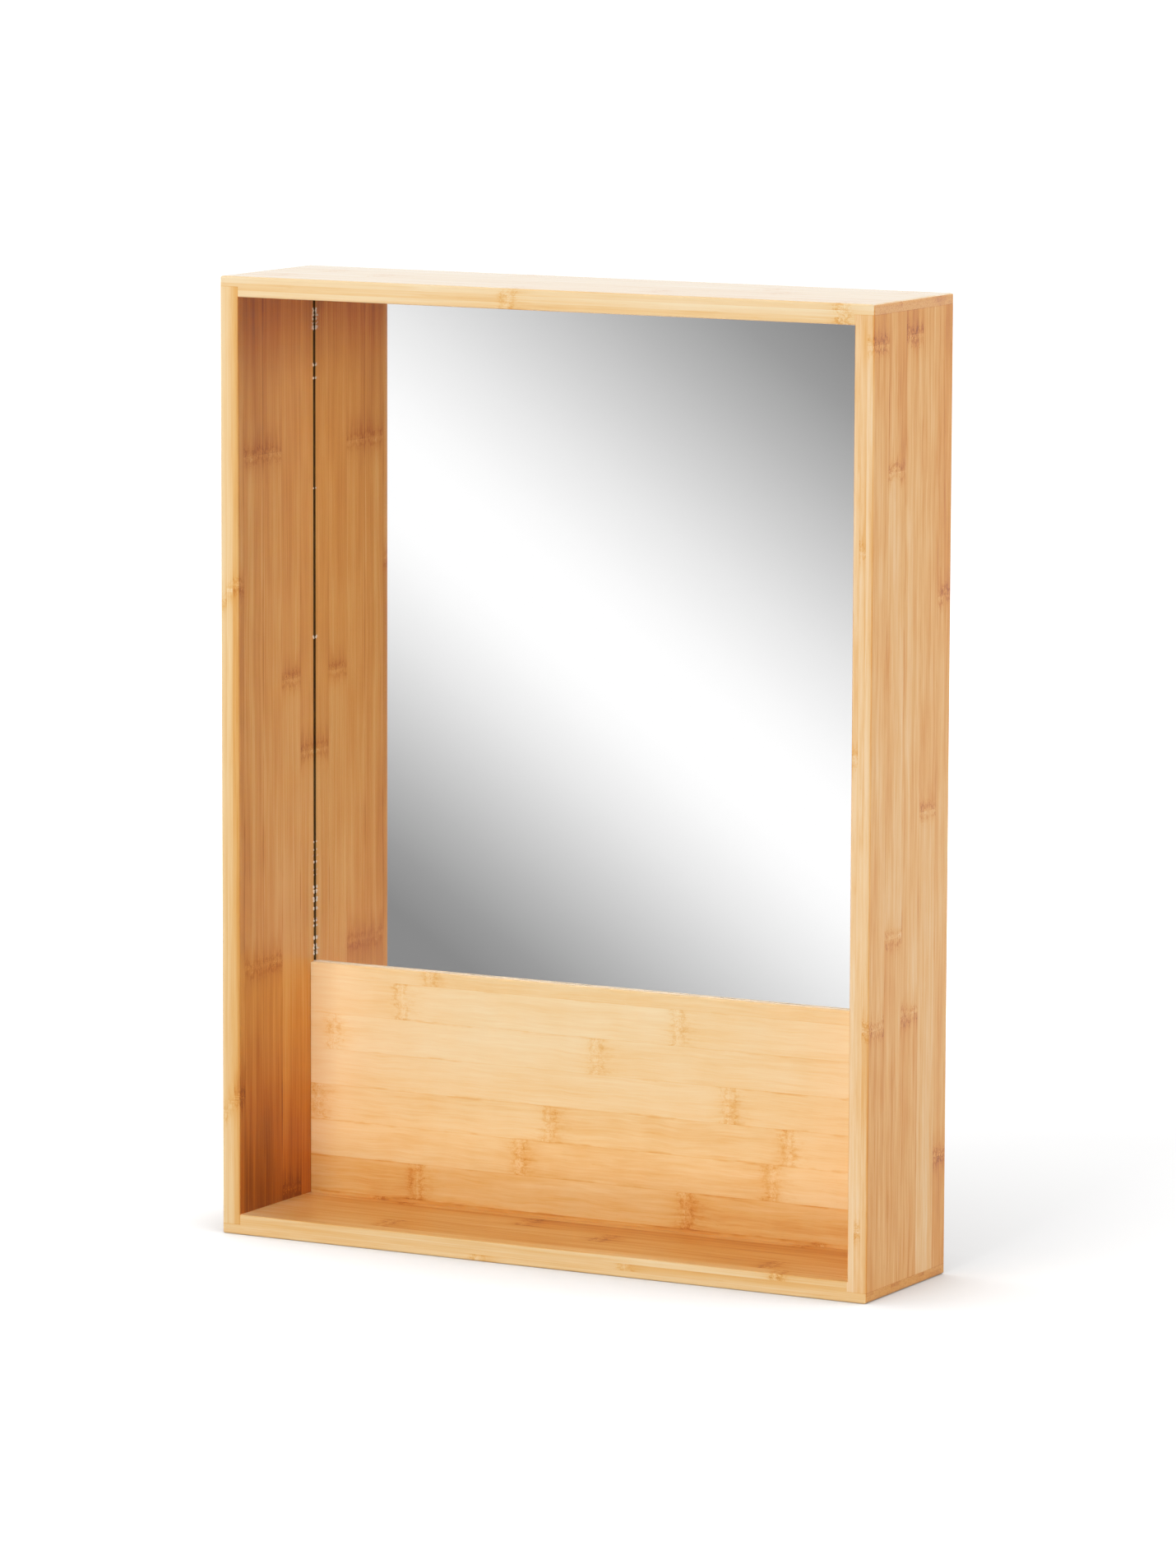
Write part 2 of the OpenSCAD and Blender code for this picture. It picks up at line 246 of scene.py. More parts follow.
curls = maths(strip, "MULTIPLY", maths(strip, "MAXIMUM", rim, curl_line), patchy)
curls = maths(strip, "MULTIPLY", curls, given["Curl"])
pale_zone = maths(strip, "MULTIPLY", fade(strip, near_abs, CURL_HALF / 2, CURL_HALF), given["Curl"])
print("the curls reach", CURL_REACH, "mm to either side")

# %% The dots and brushes of a knuckle
# Where the fibres don't curl they are cut across, and show as light and dark dots along the line
# of the knuckle. On one side of it the fibres leave in short darker brushes.
DOTS_PER_MM = (0.7, 0.8)
DOT_EDGE = (0.22, 0.42)
DOTS_REACH = (0.8, 3.2)
DOTS_PALER = 0.05
DOTS_AMONG_CURLS = 0.1
BRUSHES_PER_MM = (0.05, 0.45)
BRUSH_EDGE = (0.42, 0.66)
BRUSH_START = (-12.0, -2.0)
BRUSH_END = (3.0, 20.0)
dot_place = add(strip, "ShaderNodeCombineXYZ", inputs={
    0: maths(strip, "MULTIPLY", given["Along"], DOTS_PER_MM[0]),
    1: maths(strip, "MULTIPLY", given["Across"], DOTS_PER_MM[1]),
    2: given["Seed"]})
dots = add(strip, "ShaderNodeTexVoronoi", inputs={"Vector": dot_place.outputs[0], "Scale": 1.0})
dot = fade(strip, dots.outputs["Distance"], *DOT_EDGE)
light_or_dark = add(strip, "ShaderNodeSeparateColor", inputs={0: dots.outputs["Color"]})
dot_sign = maths(strip, "MULTIPLY_ADD", light_or_dark.outputs[0], 2.0, -1 - DOTS_PALER)
dot_tone = maths(strip, "MULTIPLY", maths(strip, "MULTIPLY", dot, dot_sign),
                 fade(strip, near_abs, *DOTS_REACH))
curled_less = maths(strip, "SUBTRACT", 1 + DOTS_AMONG_CURLS, given["Curl"])
dot_tone = maths(strip, "MULTIPLY", dot_tone, curled_less)

brush_noise = grain_noise(*BRUSHES_PER_MM)
brush = maths(strip, "MULTIPLY", fade(strip, brush_noise, *BRUSH_EDGE, 0.0, 1.0),
              fade(strip, near, *BRUSH_END))
brush = maths(strip, "MULTIPLY", brush, fade(strip, near, *BRUSH_START, 0.0, 1.0))
print("a brush runs from", BRUSH_START[0], "to", BRUSH_END[1], "mm")

# %% Fibres, streaks and flecks
# The fibres drift a little from side to side over the length of a board, and round a knuckle
# they swerve by a millimetre or so. How many of each there are to a millimetre, along and across
# the grain, comes from their size: a fibre shows about 50 mm long and 0.8 mm wide, a bundle
# 125 x 2 mm, a streak 290 x 7 mm, a fleck 14 x 0.5 mm and a cloud 80 x 20 mm.
DRIFT_MM = 2.5
DRIFTS_PER_MM = (0.008, 0.02)
SWERVE_REACH = 16.0
SWERVE_SHARE = 0.35
FIBRES_PER_MM = (0.020, 1.3)
BUNDLES_PER_MM = (0.008, 0.50)
STREAKS_PER_MM = (0.0035, 0.14)
FLECKS_PER_MM = (0.07, 2.2)
FLECK_EDGE = (0.60, 0.74)
CLOUDS_PER_MM = (0.012, 0.045)
drift = maths(strip, "MULTIPLY_ADD", grain_noise(*DRIFTS_PER_MM, detail=2.0), 2 * DRIFT_MM, -DRIFT_MM)
swerve = maths(strip, "MULTIPLY", bow_mm, fade(strip, near_abs, 0.0, SWERVE_REACH))
swerve = maths(strip, "MULTIPLY", swerve, SWERVE_SHARE)
swerved = maths(strip, "ADD", maths(strip, "ADD", given["Across"], swerve), drift)
fibres = grain_noise(*FIBRES_PER_MM, across=swerved)
bundles = grain_noise(*BUNDLES_PER_MM, detail=2.0, across=swerved)
streaks = grain_noise(*STREAKS_PER_MM, detail=2.0, across=swerved)
fleck_noise = grain_noise(*FLECKS_PER_MM, across=swerved)
flecks = fade(strip, fleck_noise, *FLECK_EDGE, 0.0, 1.0)
clouds = grain_noise(*CLOUDS_PER_MM, detail=2.0)
print("fibres swerve by up to", SWERVE_SHARE * BOW_MM, "mm and drift by up to", DRIFT_MM, "mm")

# %% Glue lines and plies
# The glue line between two strips hardly shows, apart from stretches where the strip beside
# it is darker. On the edge of a board a hair marks each ply.
GLUE_LINE_MM = (0.1, 0.45)
STAIN_MM = (0.2, 1.6)
STAINS_PER_MM = (0.012, 0.02)
STAIN_EDGE = (0.5, 0.68)
PLY_LINE_MM = (0.05, 0.3)
to_edge = maths(strip, "PINGPONG", given["Across"], STRIP_W / 2)
glue_line = fade(strip, to_edge, *GLUE_LINE_MM)
stained = fade(strip, grain_noise(*STAINS_PER_MM), *STAIN_EDGE, 0.0, 1.0)
stain = maths(strip, "MULTIPLY", stained, fade(strip, to_edge, *STAIN_MM))
to_ply = maths(strip, "ABSOLUTE", maths(strip, "WRAP", given["Through"], PLY_T / 2, -PLY_T / 2))
ply_line = maths(strip, "MULTIPLY", fade(strip, to_ply, *PLY_LINE_MM), given["Edge"])
print("a board shows", round(BOARD_T / PLY_T), "plies on its edge")

# %% The tone of a strip
# Each part adds to one number, which runs from pale to dark.
# From one joint of the cane to the next the tone changes, here from deeper to paler and back.
JOINT_TONE = 0.035
FLECK_TONE = 0.08
joint_number = maths(strip, "FLOOR", maths(strip, "DIVIDE", past, given["Spacing"]))
joint_tone = maths(strip, "MULTIPLY_ADD", maths(strip, "PINGPONG", joint_number, 1.0),
                   -2 * JOINT_TONE, JOINT_TONE)
grain_sum = maths(strip, "MULTIPLY_ADD", flecks, FLECK_TONE, joint_tone)
for part, weight in ((fibres, 0.23), (bundles, 0.28), (streaks, 0.32), (clouds, 0.20)):
    grain_sum = maths(strip, "MULTIPLY_ADD", maths(strip, "SUBTRACT", part, 0.5), weight, grain_sum)
tone = maths(strip, "MULTIPLY_ADD", grain_sum, given["Contrast"], given["Tone"])
for part, weight in ((halo, 0.035), (brush, 0.09), (curls, 0.21), (pale_zone, -0.03),
                     (dot_tone, 0.36), (glue_line, 0.06), (stain, 0.15), (ply_line, 0.04)):
    tone = maths(strip, "MULTIPLY_ADD", part, weight, tone)
print("from joint to joint the tone changes by", 2 * JOINT_TONE)

# %% End grain, and from tone to colour
# Across the end of a board the fibres show as dark dots in a darker ground.
END_DOTS_PER_MM = 1.1
END_DOT_EDGE = (0.1, 0.6)
END_TONES = (0.70, 0.56)
END_STAIN = 0.14
PALE_TO_DARK = ((0.0, "F8E2BC"), (0.25, "F2CF99"), (0.45, "E9B56D"), (0.6, "DD9A48"),
                (0.8, "C0702B"), (1.0, "8A4A1E"))
end_place = add(strip, "ShaderNodeCombineXYZ", inputs={
    0: given["Across"], 1: given["Through"], 2: given["Seed"]})
end_dots = add(strip, "ShaderNodeTexVoronoi", inputs={
    "Vector": end_place.outputs[0], "Scale": END_DOTS_PER_MM})
end_tone = fade(strip, end_dots.outputs["Distance"], *END_DOT_EDGE, *END_TONES)
end_tone = maths(strip, "MULTIPLY_ADD", stained, END_STAIN, end_tone)
mixed_tone = add(strip, "ShaderNodeMix", inputs={0: given["End grain"], 2: tone, 3: end_tone})
bamboo_colour = add(strip, "ShaderNodeValToRGB", inputs={0: mixed_tone.outputs[0]})
set_stops(bamboo_colour, PALE_TO_DARK)
print("colours from pale to dark:", len(PALE_TO_DARK))

# %% Relief and gloss of a strip
# Sanding leaves the harder fibres a few hundredths of a millimetre proud, and the glue line low.
FIBRE_PROUD = 0.05
CURL_PROUD = 0.03
GLUE_LOW = -0.03
SATIN = (0.36, 0.46)
relief = maths(strip, "MULTIPLY", fibres, FIBRE_PROUD)
relief = maths(strip, "MULTIPLY_ADD", glue_line, GLUE_LOW, relief)
relief = maths(strip, "MULTIPLY_ADD", curls, CURL_PROUD, relief)
gloss = fade(strip, fibres, *NOISE_SPAN, *SATIN)
add(strip, "NodeGroupOutput", inputs={
    "Color": bamboo_colour.outputs[0], "Height": relief, "Roughness": gloss})
print("strip group:", len(strip.nodes), "nodes")

# %% [markdown]
# ## The boards
#
# Each board turns the strip to its own grain: upright on the sides, level on the others. A short
# list says, strip by strip, where a knuckle falls, how far apart the knuckles are and how dark
# the strip is. A colour ramp with constant steps hands those three numbers to the strip: the
# place across the board goes in, and the red, green and blue of its step come out.

# %% Material of one board
# The ramp holds numbers from 0 to 1, so a place and a spacing in mm are packed into these spans.
PHASE_SHIFT = 300.0
PHASE_SPAN = 1000.0
SPACING_SPAN = 500.0
# The first ply starts this far above the face, so that the face itself lies inside it.
SKIN = 0.02
SEAM_MM = (0.1, 0.35)
SEAT_MM = (0.3, 0.6)
# Each strip and each ply starts its noise this much further on, and is up to so much off in tone.
STRIP_STEP = 7.31
PLY_STEP = 3.17
PLY_TONE = 0.05
# The cosines between which a surface turns into the flat of a board, or out of its edge, and the
# ones from which it is the end of the board, or the seat of the glass.
FLAT = (0.3, 0.9)
EDGE = (0.2, 0.7)
END = 0.7
SEAT = 0.5


def board_material(name, grain, across, face, strips, first_edge, seed, ply_shift=114.0, seams=(),
                   face_tones=(0.0, 0.0), edge_tones=(0.0, 0.0), corners=(), shades=(),
                   seat_painted_shade=0.88, tint="FFFFFF", curl=1.0, contrast=1.0, shortness=1.0, coat=0.35):
    """Laminated bamboo for one board.

    grain, across: the axes with the grain and across the strips.
    face: axis, sign and place in mm of the face where the first ply lies.
    strips: (place of a knuckle, spacing, tone) of each strip from first_edge - STRIP_W on, in mm.
    first_edge: place of the first glue line along the across axis.
    seed: where the noise of this board starts.
    ply_shift: how far down the grain the knuckles of the next ply lie, in mm.
    seams: (axis, place, deeper) of the joints with other pieces, drawn as a dark hair.
    face_tones: how much deeper the tone is on that face and on the opposite one.
    edge_tones: the same on the edge of the board, at that face and at the opposite one.
    corners: (axis, place, reach, deeper) of each plane near which that face deepens in tone as painted
    shade, or pales as painted light where deeper is below zero.
    shades: (axis, place, reach, darker) of each plane near which that face is darkened as painted shade.
    seat_painted_shade: how dark the shoulder that the glass lies on is made, as painted shade.
    tint: a colour that the bamboo is multiplied by, for a board cut from other canes.
    curl: how curly the knuckles are, from dots at 0 to curls at 1.
    contrast: how strongly the fibres and streaks show.
    shortness: how many times shorter than usual the streaks are.
    coat: how thick the lacquer lies.
    """
    material, tree = new_material(name)
    coordinates = add(tree, "ShaderNodeTexCoord")
    place = add(tree, "ShaderNodeVectorMath", {"operation": "SCALE"},
                {0: coordinates.outputs["Object"], "Scale": 1 / MM})
    axes = add(tree, "ShaderNodeSeparateXYZ", inputs={0: place.outputs[0]}).outputs
    normal = add(tree, "ShaderNodeSeparateXYZ", inputs={0: coordinates.outputs["Normal"]}).outputs
    face_axis, face_sign, face_at = face

    over = maths(tree, "SUBTRACT", axes[across], first_edge - STRIP_W)
    through = maths(tree, "MULTIPLY_ADD", axes[face_axis], -face_sign, face_sign * face_at + SKIN)
    ply_number = maths(tree, "FLOOR", maths(tree, "DIVIDE", through, PLY_T))

    lookup = add(tree, "ShaderNodeValToRGB", inputs={
        0: maths(tree, "DIVIDE", over, STRIP_W * len(strips))})
    lookup.color_ramp.interpolation = "CONSTANT"
    stops = lookup.color_ramp.elements
    for number, (phase, spacing, tone_of_strip) in enumerate(strips):
        stop = stops[0] if number == 0 else stops.new(number / len(strips))
        stop.color = ((phase + PHASE_SHIFT) / PHASE_SPAN, spacing / SPACING_SPAN, tone_of_strip, 1.0)
    stops.remove(stops[len(stops) - 1])
    parts = add(tree, "ShaderNodeSeparateColor", inputs={0: lookup.outputs[0]}).outputs
    phase_mm = maths(tree, "MULTIPLY_ADD", parts[0], PHASE_SPAN, -PHASE_SHIFT)
    phase_of_ply = maths(tree, "MULTIPLY_ADD", ply_number, -ply_shift, phase_mm)
    spacing_mm = maths(tree, "MULTIPLY", parts[1], SPACING_SPAN)

    # Every strip of every ply starts its fibres elsewhere, and is a little paler or darker.
    strip_number = maths(tree, "FLOOR", maths(tree, "DIVIDE", over, STRIP_W))
    strip_seed = maths(tree, "MULTIPLY_ADD", strip_number, STRIP_STEP, seed)
    ply_seed = maths(tree, "MULTIPLY_ADD", ply_number, PLY_STEP, strip_seed)
    ply_noise = add(tree, "ShaderNodeTexWhiteNoise", {"noise_dimensions": "1D"}, {"W": ply_seed})
    tone = maths(tree, "MULTIPLY_ADD", ply_noise.outputs[0], 2 * PLY_TONE,
                 maths(tree, "ADD", parts[2], -PLY_TONE))

    # The flat of a board is deeper in tone than its edges. On the faces inside the box the deeper tone
    # is partly painted shade.
    facing = maths(tree, "MULTIPLY", normal[face_axis], face_sign)
    for side, deeper in zip((1.0, -1.0), face_tones):
        on_side = fade(tree, maths(tree, "MULTIPLY", facing, side), *FLAT, 0.0, 1.0)
        tone = maths(tree, "MULTIPLY_ADD", on_side, deeper, tone)
    edge = fade(tree, maths(tree, "ABSOLUTE", facing), *EDGE)
    at_face, opposite = edge_tones
    from_ply_to_ply = maths(tree, "MULTIPLY_ADD", through, (opposite - at_face) / BOARD_T, at_face)
    tone = maths(tree, "MULTIPLY_ADD", edge, from_ply_to_ply, tone)
    on_face = fade(tree, facing, *FLAT, 0.0, 1.0)
    # Near each plane in corners, that face is set deeper in tone as painted shade, or paler as painted
    # light where the number is below zero.
    for corner_axis, corner_at, reach, deeper in corners:
        off = maths(tree, "ABSOLUTE", maths(tree, "SUBTRACT", axes[corner_axis], corner_at))
        tone = maths(tree, "MULTIPLY_ADD", on_face, fade(tree, off, 0.0, reach, deeper, 0.0), tone)
    for seam_axis, seam_at, deeper in seams:
        off = maths(tree, "ABSOLUTE", maths(tree, "SUBTRACT", axes[seam_axis], seam_at))
        tone = maths(tree, "ADD", tone, fade(tree, off, *SEAM_MM, deeper, 0.0))

    end_grain = maths(tree, "GREATER_THAN", maths(tree, "ABSOLUTE", normal[grain]), END)
    bamboo = add(tree, "ShaderNodeGroup", {"node_tree": strip}, {
        "Along": axes[grain], "Across": over, "Through": through, "Phase": phase_of_ply,
        "Spacing": spacing_mm, "Tone": tone, "Seed": ply_seed, "End grain": end_grain, "Edge": edge,
        "Curl": curl, "Contrast": contrast, "Shortness": shortness})

    # What is kept of the colour: little on the shoulder that the glass lies on, and less near the planes
    # given for shade. Both are painted shade.
    to_glass = maths(tree, "ABSOLUTE", maths(tree, "SUBTRACT", axes[Y], GLASS_LOW.y))
    seat = maths(tree, "MULTIPLY", fade(tree, to_glass, *SEAT_MM),
                 maths(tree, "GREATER_THAN", normal[Y], SEAT))
    kept = maths(tree, "MULTIPLY_ADD", seat, -seat_painted_shade, 1.0)
    for shade_axis, shade_at, reach, darker in shades:
        off = maths(tree, "ABSOLUTE", maths(tree, "SUBTRACT", axes[shade_axis], shade_at))
        kept = maths(tree, "MULTIPLY_ADD", on_face, fade(tree, off, 0.0, reach, -darker, 0.0), kept)
    colour = add(tree, "ShaderNodeVectorMath", {"operation": "SCALE"},
                 {0: bamboo.outputs["Color"], "Scale": kept})
    colour = add(tree, "ShaderNodeVectorMath", {"operation": "MULTIPLY"},
                 {0: colour.outputs[0], 1: rgb(tint)[:3]})
    bump = add(tree, "ShaderNodeBump", inputs={
        "Strength": 0.6, "Distance": MM, "Height": bamboo.outputs["Height"]})
    surface = add(tree, "ShaderNodeBsdfPrincipled", inputs={
        "Base Color": colour.outputs[0], "Roughness": bamboo.outputs["Roughness"],
        "Normal": bump.outputs[0], "IOR": 1.5, "Specular IOR Level": 0.2,
        "Coat Weight": coat, "Coat Roughness": 0.2, "Coat IOR": 1.35})
    finish_material(tree, surface.outputs[0])
    return material


print("places from", -PHASE_SHIFT, "to", PHASE_SPAN - PHASE_SHIFT, "mm fit the ramp")

# %% [markdown]
# The numbers below were read off the photograph for the faces that it shows, and the other
# faces follow from the same strips. Places are in millimetres in the frame of the part.

# %% The strips of each board
LEFT_STRIPS = [(81, 300, 0.37), (455, 300, 0.42), (455, 300, 0.40), (321, 304, 0.38),
               (276, 300, 0.30), (130, 310, 0.36)]
RIGHT_STRIPS = [(537, 383, 0.36), (465, 262, 0.32), (540, 383, 0.32), (270, 310, 0.32),
                (390, 320, 0.33)]
# The panel's strips are set deeper the lower they lie, which is partly painted shade.
PANEL_STRIPS = [(-150, 290, 0.44), (53, 179, 0.38), (-56, 164, 0.31), (-37, 156, 0.26),
                (81, 290, 0.19), (-5, 177, 0.16), (48, 184, 0.17), (-117, 300, 0.18)]
TOP_STRIPS = [(-21, 212, 0.17), (60, 240, 0.20), (-130, 260, 0.18), (110, 280, 0.22),
              (-60, 250, 0.18)]
SHELF_STRIPS = [(153, 450, 0.31), (-110, 250, 0.36), (20, 280, 0.34), (-40, 230, 0.35),
                (130, 260, 0.31)]
RAIL_STRIPS = [(-90, 210, 0.30), (40, 230, 0.36), (120, 190, 0.32), (-20, 240, 0.38),
               (70, 200, 0.30)]
print("strips:", sum(map(len, (LEFT_STRIPS, RIGHT_STRIPS, PANEL_STRIPS, TOP_STRIPS, SHELF_STRIPS,
                               RAIL_STRIPS))))

# %% The two sides
side_seams = [(Z, LIP_T, 0.18), (Z, LEFT_HIGH.z, 0.14)]
# The inner face of the left board is set deeper in tone than the outer one, and deeper still towards its
# foot and its top: painted shade.
left_bamboo = board_material(
    "natural bamboo, left board", Z, Y, (X, 1, LEFT_HIGH.x), LEFT_STRIPS,
    first_edge=LEFT_LOW.y + 6.0, seed=11.0, ply_shift=4.0, seams=side_seams,
    face_tones=(0.24, 0.04), edge_tones=(0.19, -0.26),
    corners=((Z, BOARD_T, 130.0, 0.29), (Z, NICHE_TOP, 60.0, 0.20)),
    curl=0.6, contrast=0.85)
# The right board is set deeper on its inner face than on its outer one, and its outer face deeper
# towards the top, the front and the back: painted shade.
right_bamboo = board_material(
    "natural bamboo, right board", Z, Y, (X, 1, RIGHT_HIGH.x), RIGHT_STRIPS,
    first_edge=RIGHT_LOW.y + 19.4, seed=23.0, seams=side_seams,
    face_tones=(0.16, 0.28), edge_tones=(0.0, -0.14),
    corners=((Z, RIGHT_HIGH.z, 130.0, 0.05), (Y, RIGHT_HIGH.y, 25.0, 0.05),
             (Y, RIGHT_LOW.y, 16.0, 0.05)),
    tint="FFFBFF", contrast=1.25, shortness=1.5)
print("sides:", left_bamboo.name, "and", right_bamboo.name)

# %% The boards with their grain level
# The underside of the top board is set deeper in tone than its top: painted shade.
top_bamboo = board_material(
    "natural bamboo, top board", X, Y, (Z, 1, TOP_HIGH.z), TOP_STRIPS,
    first_edge=TOP_LOW.y + 14.0, seed=37.0, ply_shift=212.0,
    face_tones=(0.0, 0.28), edge_tones=(-0.10, 0.11), coat=1.0)
# The top of the shelf is set deeper than its underside, and deeper and darker towards the panel: painted
# shade. Its left end is set paler: painted light.
shelf_bamboo = board_material(
    "natural bamboo, shelf board", X, Y, (Z, 1, BOTTOM_HIGH.z), SHELF_STRIPS,
    first_edge=BOTTOM_LOW.y + 10.0, seed=41.0, ply_shift=96.0,
    face_tones=(0.17, 0.04), edge_tones=(0.04, 0.02),
    corners=((Y, PANEL_LOW.y, 22.0, 0.06), (X, -NICHE_HALF, 36.0, -0.14)),
    shades=((Y, PANEL_LOW.y, 200.0, 0.10),))
# The panel is set deeper and darker towards its foot: painted shade. Its left end is set paler: painted
# light.
panel_bamboo = board_material(
    "natural bamboo, lower panel", X, Z, (Y, -1, PANEL_LOW.y), PANEL_STRIPS,
    first_edge=14.0, seed=53.0,
    corners=((Z, BOARD_T, 36.0, 0.10), (X, -NICHE_HALF, 60.0, -0.06)),
    shades=((Z, BOARD_T, 45.0, 0.22),), seat_painted_shade=0.0,
    tint="FFFFF8", curl=0.85, contrast=0.8, shortness=3.0)
rail_bamboo = board_material(
    "unsealed bamboo, rails", X, Z, (Y, 1, TOP_HIGH.y), RAIL_STRIPS, first_edge=20.0, seed=67.0)
BOARDS = {"left_side": left_bamboo, "right_side": right_bamboo, "top_board": top_bamboo,
          "bottom_board": shelf_bamboo, "lower_panel": panel_bamboo, "hanging_rail": rail_bamboo,
          "lower_rail": rail_bamboo}
for board_name, bamboo in BOARDS.items():
    dress(board_name, bamboo)
print("bamboo boards dressed:", len(BOARDS))

# %% [markdown]
# ## The mirror
#
# A small bathroom mirror is 2 mm float glass with silver on its back, and it lies against a
# shoulder in the boards. The silver shows the back of that shoulder, which is darkened as
# painted shade: it is the dark line down the left of the mirror. With real glass over real silver
# the line comes at its true width. Float glass this thin has no tint that the eye can see.

# %% Glass
glass, tree = new_material("float glass, polished")
pane = add(tree, "ShaderNodeBsdfPrincipled", inputs={
    "Base Color": rgb("FDFDFD"), "Roughness": 0.0, "IOR": 1.52, "Transmission Weight": 1.0})
finish_material(tree, pane.outputs[0])
dress("mirror_glass", glass)
print("the pane is", round(GLASS_HIGH.y - GLASS_LOW.y, 2), "mm thick")

# %% [markdown]
# Silver is laid on the back of the glass and a grey film is stuck over it. The sheet that stands
# for both starts a hair inside the glass: a renderer can't tell two faces in one plane
# apart, and here it has to meet the silver from within the glass. The sheet ends just short of
# the edges of the glass, where a glazier wipes it clean, and its edges are broken. The silver is
# a metal with no roughness at all, and the film is matt with the fine dimples of a plastic sheet.

# %% The sheet behind the glass
SILVER_DEPTH = 0.05
WIPED_SIDE = 0.6
WIPED_FOOT = 0.2
FILM_BEVEL = 0.12
BACKING_LOW, BACKING_HIGH = in_mm("mirror_backing")


def start_cube(name, low, high):
    """A cube between two corners in mm, with everything else deselected, left in object mode."""
    bpy.ops.object.select_all(action="DESELECT")
    bpy.ops.mesh.primitive_cube_add(size=1.0)
    piece = bpy.context.object
    piece.name = piece.data.name = name
    low, high = Vector(low) * MM, Vector(high) * MM
    bpy.ops.transform.resize(value=high - low)
    bpy.ops.transform.translate(value=(low + high) / 2)
    bpy.ops.object.transform_apply(location=True, rotation=True, scale=True)
    return piece


sheet_low = (BACKING_LOW.x + WIPED_SIDE, GLASS_HIGH.y - SILVER_DEPTH, BACKING_LOW.z + WIPED_FOOT)
sheet_high = (BACKING_HIGH.x - WIPED_SIDE, BACKING_HIGH.y, BACKING_HIGH.z - WIPED_FOOT)
silver_sheet = start_cube("silver_and_film", sheet_low, sheet_high)
bevel = silver_sheet.modifiers.new("broken edges", "BEVEL")
bevel.width = FILM_BEVEL * MM
bevel.segments = 2
bpy.ops.object.modifier_apply(modifier=bevel.name)
print("silver sheet:", len(silver_sheet.data.polygons), "faces")

# %% Silver and film
DIMPLE_MM = 2.0
DIMPLE_DEEP = 0.05


def pattern(tree, kind, size_mm, inputs=None):
    """A noise or a pattern of cells, each so many millimetres wide, fixed to the piece."""
    coordinates = add(tree, "ShaderNodeTexCoord")
    return add(tree, kind, inputs={
        "Vector": coordinates.outputs["Object"], "Scale": 1 / (size_mm * MM), **(inputs or {})})


film, tree = new_material("grey safety film, polyethylene")
dimples = pattern(tree, "ShaderNodeTexNoise", DIMPLE_MM)
bump = add(tree, "ShaderNodeBump", inputs={
    "Strength": 0.4, "Distance": DIMPLE_DEEP * MM, "Height": dimples.outputs[0]})
sheet = add(tree, "ShaderNodeBsdfPrincipled", inputs={
    "Base Color": rgb("74797E"), "Roughness": 0.5, "Normal": bump.outputs[0]})
finish_material(tree, sheet.outputs[0])
silver, tree = new_material("silver, laid on glass")
metal = add(tree, "ShaderNodeBsdfPrincipled", inputs={
    "Base Color": rgb("FBFBFB"), "Metallic": 1.0, "Roughness": 0.0})
finish_material(tree, metal.outputs[0])
silver_sheet.data.materials.append(film)
silver_sheet.data.materials.append(silver)
for face in silver_sheet.data.polygons:
    face.material_index = 1 if face.normal.y < -FLAT[1] else 0
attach(silver_sheet, "root")
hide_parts("mirror_backing")
print("silver and film:", len(silver_sheet.data.materials), "materials on one sheet")

# %% [markdown]
# ## What closes and hangs the box
#
# From behind you see tempered hardboard, two bamboo rails, zinc plated hangers and
# screws, and steel framing points. Hardboard is wood fibre pressed smooth, with a fine mottle.
# Foam tape is matt and shows its cut cells. Zinc plate has a soft, uneven shine and fine lines
# along the way it was rolled, and drawn wire is a little darker.

# %% Hardboard
MOTTLE_MM = 9.0
FIBRE_MM = 1.2
FIBRE_SHARE = 0.6
FIBRE_DEEP = 0.05
HARDBOARD_BROWNS = ((0.45, "5E4129"), (1.0, "9A7350"))
hardboard, tree = new_material("tempered hardboard, pressed smooth")
mottle = pattern(tree, "ShaderNodeTexNoise", MOTTLE_MM, {"Detail": 5.0, "Roughness": 0.7})
fibre = pattern(tree, "ShaderNodeTexNoise", FIBRE_MM, {"Detail": 3.0})
mix = maths(tree, "MULTIPLY_ADD", fibre.outputs[0], FIBRE_SHARE, mottle.outputs[0])
browns = add(tree, "ShaderNodeValToRGB", inputs={0: mix})
set_stops(browns, HARDBOARD_BROWNS)
bump = add(tree, "ShaderNodeBump", inputs={
    "Strength": 0.5, "Distance": FIBRE_DEEP * MM, "Height": fibre.outputs[0]})
board = add(tree, "ShaderNodeBsdfPrincipled", inputs={
    "Base Color": browns.outputs[0], "Roughness": 0.55, "Normal": bump.outputs[0]})
finish_material(tree, board.outputs[0])
dress("back_board", hardboard)
print("dressed:", hardboard.name)

# %% Foam tape
CELL_MM = 0.8
CELL_DEEP = 0.1
foam, tree = new_material("polyethylene foam tape")
cells = pattern(tree, "ShaderNodeTexVoronoi", CELL_MM)
bump = add(tree, "ShaderNodeBump", inputs={
    "Strength": 0.5, "Distance": CELL_DEEP * MM, "Height": cells.outputs[0]})
tape = add(tree, "ShaderNodeBsdfPrincipled", inputs={
    "Base Color": rgb("ECECE6"), "Roughness": 0.85, "Normal": bump.outputs[0]})
finish_material(tree, tape.outputs[0])
for tape_name in ("foam_tape_left", "foam_tape_middle", "foam_tape_right"):
    dress(tape_name, foam)
print("dressed:", foam.name)

# %% Steel
DRAWN_LINE_MM = (0.4, 12.0)
LINE_DEEP = 0.02
SPANGLE_MM = 3.0
SMOOTHER, ROUGHER = -0.07, 0.1


